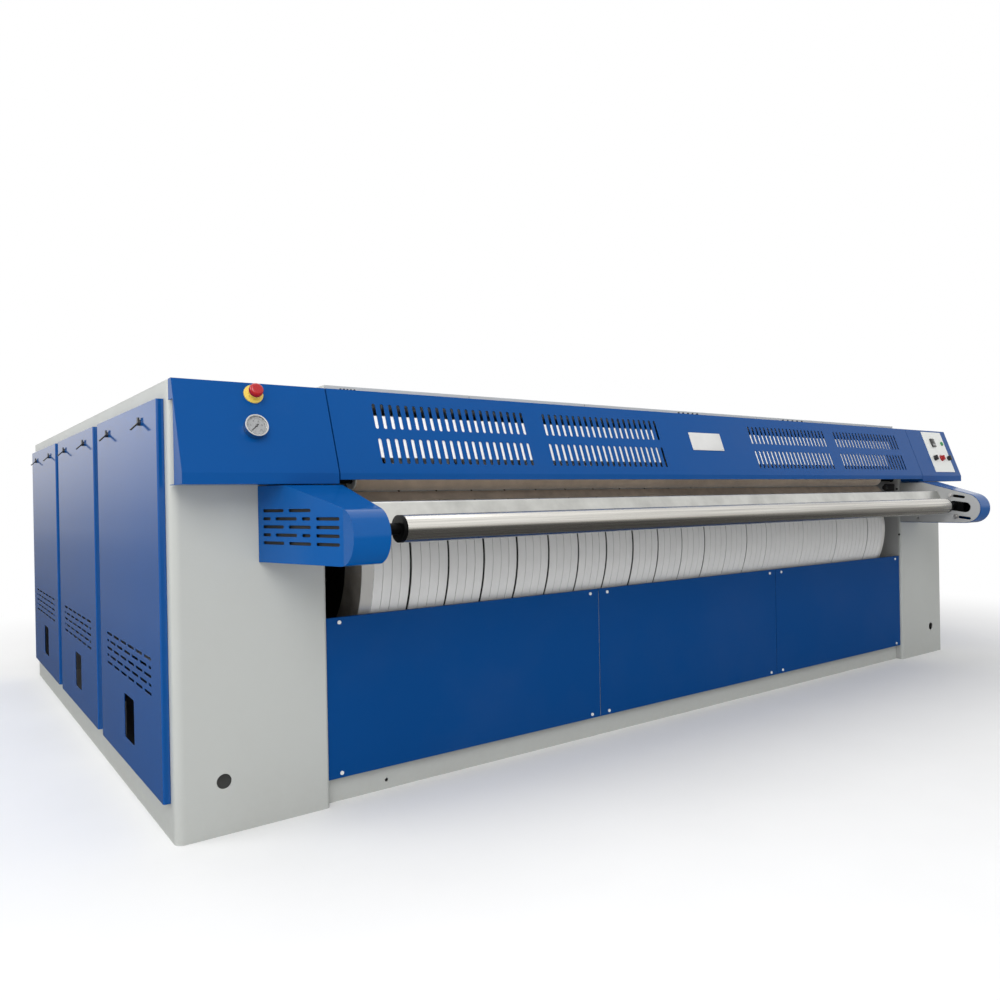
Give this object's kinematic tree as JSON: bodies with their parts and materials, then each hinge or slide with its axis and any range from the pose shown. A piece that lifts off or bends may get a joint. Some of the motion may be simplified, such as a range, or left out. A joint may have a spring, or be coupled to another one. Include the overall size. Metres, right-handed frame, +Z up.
{
  "type": "flatwork ironer",
  "caption": "Wide flatwork ironer: belted heated cylinders between two end cabinets, with a vented hood, a polished feed roller on side brackets and removable end doors.",
  "frame": {"origin": "on the floor, under the middle of the overall box", "axes": "X runs along the cylinders, -Y is the feeding side where the operator stands, +Z is up"},
  "size_m": [4.426, 3.423, 1.3],
  "materials": {
    "cabinet_grey": "satin light grey paint",
    "deep_blue": "glossy deep blue paint",
    "wall_grey": "light grey paint",
    "dull_steel": "plain mill finish",
    "polished_steel": "polished round",
    "chain_steel": "oiled",
    "fixings": "bright",
    "black_plastic": "fine grain",
    "red_plastic": "glossy",
    "green_plastic": "glossy",
    "yellow_plastic": "glossy",
    "plate_silver": "brushed",
    "belt_cloth": "close woven",
    "roll_cloth": "padded wrap",
    "pipe_steel": "dull",
    "motor_paint": "satin"
  },
  "bodies": {
    "frame": {"left_end_frame": "cabinet_grey", "right_end_frame": "cabinet_grey", "roof_panels": "cabinet_grey", "rear_panels": "cabinet_grey", "cross_frame": "cabinet_grey", "left_bearing_wall": "wall_grey", "right_bearing_wall": "wall_grey", "bracket_plates": "wall_grey", "kick_panels": "deep_blue", "left_hood_end": "deep_blue", "right_hood_end": "deep_blue", "left_bracket_cover": "deep_blue", "right_bracket_cover": "deep_blue", "panel_screws": "fixings", "gauge_case": "fixings", "emergency_stop_base": "yellow_plastic", "control_plate": "plate_silver", "feed_table": "polished_steel", "delivery_tray": "polished_steel", "bearings": "dull_steel", "ironing_belts": "belt_cloth", "drive_chains": "chain_steel", "drive_motors": "motor_paint", "steam_pipes": "pipe_steel"},
    "hood": {"hood_panel": "deep_blue"},
    "stop_head": {"emergency_stop_head": "red_plastic"},
    "start_button": {"start_button": "green_plastic"},
    "selector_1": {"selector_1": "black_plastic"},
    "selector_2": {"selector_2": "red_plastic"},
    "selector_3": {"selector_3": "black_plastic"},
    "gauge_needle": {"gauge_needle": "black_plastic"},
    "feed_roller": {"feed_roller": "polished_steel", "feed_roller_shaft": "dull_steel"},
    "press_roller": {"press_roller": "roll_cloth"},
    "cylinder_1": {"cylinder_1": "dull_steel"},
    "cylinder_2": {"cylinder_2": "dull_steel"},
    "cylinder_3": {"cylinder_3": "dull_steel"},
    "belt_roller_1": {"belt_roller_1": "dull_steel"},
    "belt_roller_2": {"belt_roller_2": "dull_steel"},
    "belt_roller_3": {"belt_roller_3": "dull_steel"},
    "drive_sprocket": {"drive_sprocket": "chain_steel"},
    "feed_sprocket": {"feed_sprocket": "chain_steel"},
    "left_door_1": {"left_door_1": "deep_blue"},
    "left_door_2": {"left_door_2": "deep_blue"},
    "left_door_3": {"left_door_3": "deep_blue"},
    "right_door_1": {"right_door_1": "deep_blue"},
    "right_door_2": {"right_door_2": "deep_blue"},
    "right_door_3": {"right_door_3": "deep_blue"},
    "left_door_1_latch_front": {"left_door_1_latch_front": "black_plastic"},
    "left_door_1_latch_rear": {"left_door_1_latch_rear": "black_plastic"},
    "left_door_2_latch_front": {"left_door_2_latch_front": "black_plastic"},
    "left_door_2_latch_rear": {"left_door_2_latch_rear": "black_plastic"},
    "left_door_3_latch_front": {"left_door_3_latch_front": "black_plastic"},
    "left_door_3_latch_rear": {"left_door_3_latch_rear": "black_plastic"},
    "right_door_1_latch_front": {"right_door_1_latch_front": "black_plastic"},
    "right_door_1_latch_rear": {"right_door_1_latch_rear": "black_plastic"},
    "right_door_2_latch_front": {"right_door_2_latch_front": "black_plastic"},
    "right_door_2_latch_rear": {"right_door_2_latch_rear": "black_plastic"},
    "right_door_3_latch_front": {"right_door_3_latch_front": "black_plastic"},
    "right_door_3_latch_rear": {"right_door_3_latch_rear": "black_plastic"}
  },
  "joints": [
    {"name": "hood_hinge", "type": "hinge", "parent": "frame", "child": "hood", "pos_m": [0, -1.2635, 1.279], "axis": [-1, 0, 0], "range_deg": [0, 80]},
    {"name": "cylinder_1_spin", "type": "hinge", "parent": "frame", "child": "cylinder_1", "pos_m": [0, -0.8875, 0.74], "axis": [1, 0, 0], "continuous": true},
    {"name": "cylinder_2_spin", "type": "hinge", "parent": "frame", "child": "cylinder_2", "pos_m": [0, 0.0625, 0.74], "axis": [1, 0, 0], "continuous": true},
    {"name": "cylinder_3_spin", "type": "hinge", "parent": "frame", "child": "cylinder_3", "pos_m": [0, 1.0125, 0.74], "axis": [1, 0, 0], "continuous": true},
    {"name": "belt_roller_1_spin", "type": "hinge", "parent": "frame", "child": "belt_roller_1", "pos_m": [0, -0.4235, 0.42], "axis": [1, 0, 0], "continuous": true},
    {"name": "belt_roller_2_spin", "type": "hinge", "parent": "frame", "child": "belt_roller_2", "pos_m": [0, 0.5265, 0.42], "axis": [1, 0, 0], "continuous": true},
    {"name": "belt_roller_3_spin", "type": "hinge", "parent": "frame", "child": "belt_roller_3", "pos_m": [0, 1.4765, 0.42], "axis": [1, 0, 0], "continuous": true},
    {"name": "press_roller_spin", "type": "hinge", "parent": "frame", "child": "press_roller", "pos_m": [0, -1.23959, 1.01], "axis": [1, 0, 0], "continuous": true},
    {"name": "feed_roller_spin", "type": "hinge", "parent": "frame", "child": "feed_roller", "pos_m": [0, -1.5775, 0.856], "axis": [1, 0, 0], "continuous": true},
    {"name": "drive_sprocket_spin", "type": "hinge", "parent": "frame", "child": "drive_sprocket", "pos_m": [-1.938, -0.4125, 0.25], "axis": [1, 0, 0], "continuous": true},
    {"name": "feed_sprocket_spin", "type": "hinge", "parent": "frame", "child": "feed_sprocket", "pos_m": [-1.782, -1.2235, 0.925], "axis": [1, 0, 0], "continuous": true},
    {"name": "selector_1_turn", "type": "hinge", "parent": "frame", "child": "selector_1", "pos_m": [1.93, -1.38064, 1.11919], "axis": [0, 0.9404, -0.34], "range_deg": [-45, 45]},
    {"name": "selector_2_turn", "type": "hinge", "parent": "frame", "child": "selector_2", "pos_m": [2.008, -1.38064, 1.11919], "axis": [0, 0.9404, -0.34], "range_deg": [-45, 45]},
    {"name": "selector_3_turn", "type": "hinge", "parent": "frame", "child": "selector_3", "pos_m": [2.086, -1.38064, 1.11919], "axis": [0, 0.9404, -0.34], "range_deg": [-45, 45]},
    {"name": "gauge_needle_turn", "type": "hinge", "parent": "frame", "child": "gauge_needle", "pos_m": [-1.954, -1.38583, 1.1519], "axis": [0, 0.9404, -0.34], "range_deg": [0, 270]},
    {"name": "stop_press", "type": "slide", "parent": "frame", "child": "stop_head", "axis": [0, 0.9404, -0.34], "range_m": [0, 0.006]},
    {"name": "start_press", "type": "slide", "parent": "frame", "child": "start_button", "axis": [0, 0.9404, -0.34], "range_m": [0, 0.003], "stiffness_N_per_m": 500, "springref_m": -0.003},
    {"name": "left_door_1_tilt", "type": "hinge", "parent": "frame", "child": "left_door_1", "pos_m": [-2.165, -0.8115, 0.106], "axis": [0, -1, 0], "range_deg": [0, 25]},
    {"name": "left_door_1_latch_front_turn", "type": "hinge", "parent": "left_door_1", "child": "left_door_1_latch_front", "pos_m": [-2.185, -1.0515, 1.18], "axis": [1, 0, 0], "range_deg": [0, 90]},
    {"name": "left_door_1_latch_rear_turn", "type": "hinge", "parent": "left_door_1", "child": "left_door_1_latch_rear", "pos_m": [-2.185, -0.5715, 1.18], "axis": [1, 0, 0], "range_deg": [0, 90]},
    {"name": "left_door_2_tilt", "type": "hinge", "parent": "frame", "child": "left_door_2", "pos_m": [-2.165, 0.1385, 0.106], "axis": [0, -1, 0], "range_deg": [0, 25]},
    {"name": "left_door_2_latch_front_turn", "type": "hinge", "parent": "left_door_2", "child": "left_door_2_latch_front", "pos_m": [-2.185, -0.1015, 1.18], "axis": [1, 0, 0], "range_deg": [0, 90]},
    {"name": "left_door_2_latch_rear_turn", "type": "hinge", "parent": "left_door_2", "child": "left_door_2_latch_rear", "pos_m": [-2.185, 0.3785, 1.18], "axis": [1, 0, 0], "range_deg": [0, 90]},
    {"name": "left_door_3_tilt", "type": "hinge", "parent": "frame", "child": "left_door_3", "pos_m": [-2.165, 1.0885, 0.106], "axis": [0, -1, 0], "range_deg": [0, 25]},
    {"name": "left_door_3_latch_front_turn", "type": "hinge", "parent": "left_door_3", "child": "left_door_3_latch_front", "pos_m": [-2.185, 0.8485, 1.18], "axis": [1, 0, 0], "range_deg": [0, 90]},
    {"name": "left_door_3_latch_rear_turn", "type": "hinge", "parent": "left_door_3", "child": "left_door_3_latch_rear", "pos_m": [-2.185, 1.3285, 1.18], "axis": [1, 0, 0], "range_deg": [0, 90]},
    {"name": "right_door_1_tilt", "type": "hinge", "parent": "frame", "child": "right_door_1", "pos_m": [2.165, -0.8115, 0.106], "axis": [0, 1, 0], "range_deg": [0, 25]},
    {"name": "right_door_1_latch_front_turn", "type": "hinge", "parent": "right_door_1", "child": "right_door_1_latch_front", "pos_m": [2.185, -1.0515, 1.18], "axis": [1, 0, 0], "range_deg": [0, 90]},
    {"name": "right_door_1_latch_rear_turn", "type": "hinge", "parent": "right_door_1", "child": "right_door_1_latch_rear", "pos_m": [2.185, -0.5715, 1.18], "axis": [1, 0, 0], "range_deg": [0, 90]},
    {"name": "right_door_2_tilt", "type": "hinge", "parent": "frame", "child": "right_door_2", "pos_m": [2.165, 0.1385, 0.106], "axis": [0, 1, 0], "range_deg": [0, 25]},
    {"name": "right_door_2_latch_front_turn", "type": "hinge", "parent": "right_door_2", "child": "right_door_2_latch_front", "pos_m": [2.185, -0.1015, 1.18], "axis": [1, 0, 0], "range_deg": [0, 90]},
    {"name": "right_door_2_latch_rear_turn", "type": "hinge", "parent": "right_door_2", "child": "right_door_2_latch_rear", "pos_m": [2.185, 0.3785, 1.18], "axis": [1, 0, 0], "range_deg": [0, 90]},
    {"name": "right_door_3_tilt", "type": "hinge", "parent": "frame", "child": "right_door_3", "pos_m": [2.165, 1.0885, 0.106], "axis": [0, 1, 0], "range_deg": [0, 25]},
    {"name": "right_door_3_latch_front_turn", "type": "hinge", "parent": "right_door_3", "child": "right_door_3_latch_front", "pos_m": [2.185, 0.8485, 1.18], "axis": [1, 0, 0], "range_deg": [0, 90]},
    {"name": "right_door_3_latch_rear_turn", "type": "hinge", "parent": "right_door_3", "child": "right_door_3_latch_rear", "pos_m": [2.185, 1.3285, 1.18], "axis": [1, 0, 0], "range_deg": [0, 90]}
  ],
  "couplings": [
    {"joint": "cylinder_2_spin", "follows": "cylinder_1_spin", "ratio": 1},
    {"joint": "cylinder_3_spin", "follows": "cylinder_1_spin", "ratio": 1},
    {"joint": "belt_roller_1_spin", "follows": "cylinder_1_spin", "ratio": 6.6667},
    {"joint": "belt_roller_2_spin", "follows": "cylinder_1_spin", "ratio": 6.6667},
    {"joint": "belt_roller_3_spin", "follows": "cylinder_1_spin", "ratio": 6.6667},
    {"joint": "press_roller_spin", "follows": "cylinder_1_spin", "ratio": -10.082},
    {"joint": "feed_roller_spin", "follows": "cylinder_1_spin", "ratio": 10.082},
    {"joint": "feed_sprocket_spin", "follows": "cylinder_1_spin", "ratio": 10.082},
    {"joint": "drive_sprocket_spin", "follows": "cylinder_1_spin", "ratio": 4}
  ]
}
